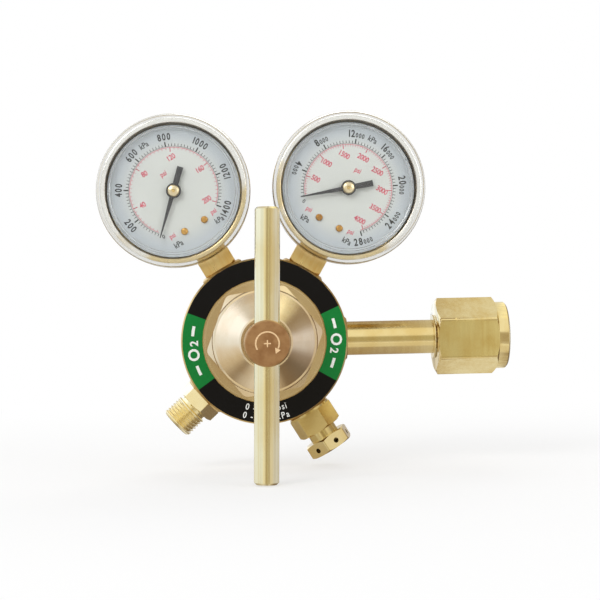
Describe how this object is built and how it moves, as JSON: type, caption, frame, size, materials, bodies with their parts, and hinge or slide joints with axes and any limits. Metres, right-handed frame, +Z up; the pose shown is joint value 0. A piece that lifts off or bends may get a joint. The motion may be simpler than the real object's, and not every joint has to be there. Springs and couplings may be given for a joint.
{
  "type": "oxygen regulator",
  "caption": "Brass gas pressure regulator with a cylinder nut on a long inlet tube, dial gauges, a hose outlet, a relief valve and a cross-bar adjusting screw.",
  "frame": {"origin": "centre of the cylinder nut's mouth, on the inlet's axis", "axes": "+X out of the nut along the inlet's axis, +Z up through the gauges, -Y to the front, towards the cross bar"},
  "size_m": [0.1713, 0.101, 0.1479],
  "materials": {
    "forged_brass": "satin",
    "turned_brass": "polished, fine turning marks",
    "screw_brass": "matt, slightly tarnished",
    "bar_brass": "drawn, long streaks",
    "case_brass": "polished",
    "plate_brass": "stamped",
    "tube_bronze": "drawn bronze",
    "sintered_bronze": "sintered, porous",
    "steel": "plated",
    "spring_steel": "oiled spring wire",
    "label": "gloss black and green print",
    "dial_face": "matt white print ground",
    "pointer_black": "matt black",
    "clear_lens": "clear",
    "diaphragm_rubber": "fabric-backed rubber",
    "seal_rubber": "rubber",
    "seat_plastic": "hard seat plastic"
  },
  "bodies": {
    "regulator": {"body": "forged_brass", "label_ring": "label", "bonnet": "turned_brass", "slip_ring": "steel", "diaphragm": "diaphragm_rubber", "nozzle": "turned_brass", "back_cap": "turned_brass", "back_cap_seal": "seal_rubber", "inlet_nipple": "turned_brass", "inlet_filter": "sintered_bronze", "outlet_fitting": "turned_brass", "relief_body": "turned_brass", "relief_cap": "turned_brass", "adjusting_spring": "spring_steel", "return_spring": "spring_steel", "relief_spring": "spring_steel", "low_gauge_socket": "turned_brass", "low_gauge_bourdon_tube": "tube_bronze", "low_gauge_case": "case_brass", "low_gauge_case_screws": "steel", "low_gauge_lens": "clear_lens", "low_gauge_dial": "dial_face", "low_gauge_dial_screws": "turned_brass", "low_gauge_movement_back_plate": "plate_brass", "low_gauge_movement_front_plate": "plate_brass", "low_gauge_movement_posts": "plate_brass", "low_gauge_hairspring": "tube_bronze", "high_gauge_socket": "turned_brass", "high_gauge_bourdon_tube": "tube_bronze", "high_gauge_case": "case_brass", "high_gauge_case_screws": "steel", "high_gauge_lens": "clear_lens", "high_gauge_dial": "dial_face", "high_gauge_dial_screws": "turned_brass", "high_gauge_movement_back_plate": "plate_brass", "high_gauge_movement_front_plate": "plate_brass", "high_gauge_movement_posts": "plate_brass", "high_gauge_hairspring": "tube_bronze"},
    "nut": {"inlet_nut": "turned_brass"},
    "button": {"spring_button": "steel"},
    "screw": {"adjusting_screw": "screw_brass", "t_bar": "bar_brass"},
    "plate": {"diaphragm_plate": "turned_brass"},
    "valve": {"valve_stem": "steel", "seat_disc": "seat_plastic", "seat_holder": "turned_brass"},
    "relief_valve": {"relief_poppet": "turned_brass", "relief_seal": "seal_rubber"},
    "low_pointer": {"low_gauge_pointer": "pointer_black", "low_gauge_pointer_hub": "turned_brass", "low_gauge_pinion": "plate_brass"},
    "low_sector": {"low_gauge_sector": "plate_brass"},
    "low_link": {"low_gauge_link": "plate_brass"},
    "low_tip": {"low_gauge_tube_tip": "turned_brass"},
    "high_pointer": {"high_gauge_pointer": "pointer_black", "high_gauge_pointer_hub": "turned_brass", "high_gauge_pinion": "plate_brass"},
    "high_sector": {"high_gauge_sector": "plate_brass"},
    "high_link": {"high_gauge_link": "plate_brass"},
    "high_tip": {"high_gauge_tube_tip": "turned_brass"}
  },
  "joints": [
    {"name": "nut_turn", "type": "hinge", "parent": "regulator", "child": "nut", "pos_m": [-0.015, 0, 0], "axis": [1, 0, 0], "continuous": true},
    {"name": "button_slide", "type": "slide", "parent": "regulator", "child": "button", "axis": [0, 1, 0], "range_m": [0, 0.008], "deforming": ["adjusting_spring"]},
    {"name": "screw_turn", "type": "hinge", "parent": "button", "child": "screw", "pos_m": [-0.1033, -0.06, 0], "axis": [0, 1, 0], "range_deg": [0, 1920]},
    {"name": "diaphragm_slide", "type": "slide", "parent": "regulator", "child": "plate", "axis": [0, 1, 0], "range_m": [0, 0.0005], "stiffness_N_per_m": 1000, "springref_m": -0.001, "deforming": ["diaphragm", "adjusting_spring"]},
    {"name": "valve_slide", "type": "slide", "parent": "regulator", "child": "valve", "axis": [0, 1, 0], "range_m": [0, 0.0005], "stiffness_N_per_m": 500, "springref_m": -0.001, "deforming": ["return_spring", "diaphragm"]},
    {"name": "relief_slide", "type": "slide", "parent": "regulator", "child": "relief_valve", "axis": [0.521, 0, -0.8536], "range_m": [0, 0.0015], "stiffness_N_per_m": 300, "springref_m": -0.003, "deforming": ["relief_spring"]},
    {"name": "low_pointer_turn", "type": "hinge", "parent": "regulator", "child": "low_pointer", "pos_m": [-0.13955, 0, 0.06279], "axis": [0, 1, 0], "range_deg": [0, 266.5], "stiffness_Nm_per_rad": 0.0001, "springref_deg": -28.65, "deforming": ["low_gauge_hairspring", "low_gauge_bourdon_tube"]},
    {"name": "low_sector_turn", "type": "hinge", "parent": "regulator", "child": "low_sector", "pos_m": [-0.12757, 0, 0.06207], "axis": [0, -1, 0], "range_deg": [0, 38.1]},
    {"name": "low_link_turn", "type": "hinge", "parent": "low_sector", "child": "low_link", "pos_m": [-0.12119, 0, 0.06331], "axis": [0, 1, 0], "range_deg": [0, 38.1]},
    {"name": "low_tip_slide", "type": "slide", "parent": "regulator", "child": "low_tip", "axis": [-0.5, 0, 0.866], "range_m": [0, 0.00423], "deforming": ["low_gauge_bourdon_tube"]},
    {"name": "high_pointer_turn", "type": "hinge", "parent": "regulator", "child": "high_pointer", "pos_m": [-0.06705, 0, 0.06279], "axis": [0, 1, 0], "range_deg": [0, 259.5], "stiffness_Nm_per_rad": 0.0001, "springref_deg": -28.65, "deforming": ["high_gauge_hairspring", "high_gauge_bourdon_tube"]},
    {"name": "high_sector_turn", "type": "hinge", "parent": "regulator", "child": "high_sector", "pos_m": [-0.06168, 0, 0.05206], "axis": [0, -1, 0], "range_deg": [0, 37.1]},
    {"name": "high_link_turn", "type": "hinge", "parent": "high_sector", "child": "high_link", "pos_m": [-0.05741, 0, 0.04715], "axis": [0, 1, 0], "range_deg": [0, 37.1]},
    {"name": "high_tip_slide", "type": "slide", "parent": "regulator", "child": "high_tip", "axis": [0.5, 0, 0.866], "range_m": [0, 0.00412], "deforming": ["high_gauge_bourdon_tube"]}
  ],
  "couplings": [
    {"joint": "button_slide", "follows": "screw_turn", "m_per_rad": 0.00023873},
    {"joint": "valve_slide", "follows": "diaphragm_slide", "ratio": 1},
    {"joint": "low_sector_turn", "follows": "low_tip_slide", "rad_per_m": 156.7},
    {"joint": "low_link_turn", "follows": "low_tip_slide", "rad_per_m": 156.7},
    {"joint": "low_pointer_turn", "follows": "low_tip_slide", "rad_per_m": 1096.9},
    {"joint": "high_sector_turn", "follows": "high_tip_slide", "rad_per_m": 156.7},
    {"joint": "high_link_turn", "follows": "high_tip_slide", "rad_per_m": 156.7},
    {"joint": "high_pointer_turn", "follows": "high_tip_slide", "rad_per_m": 1096.9}
  ]
}
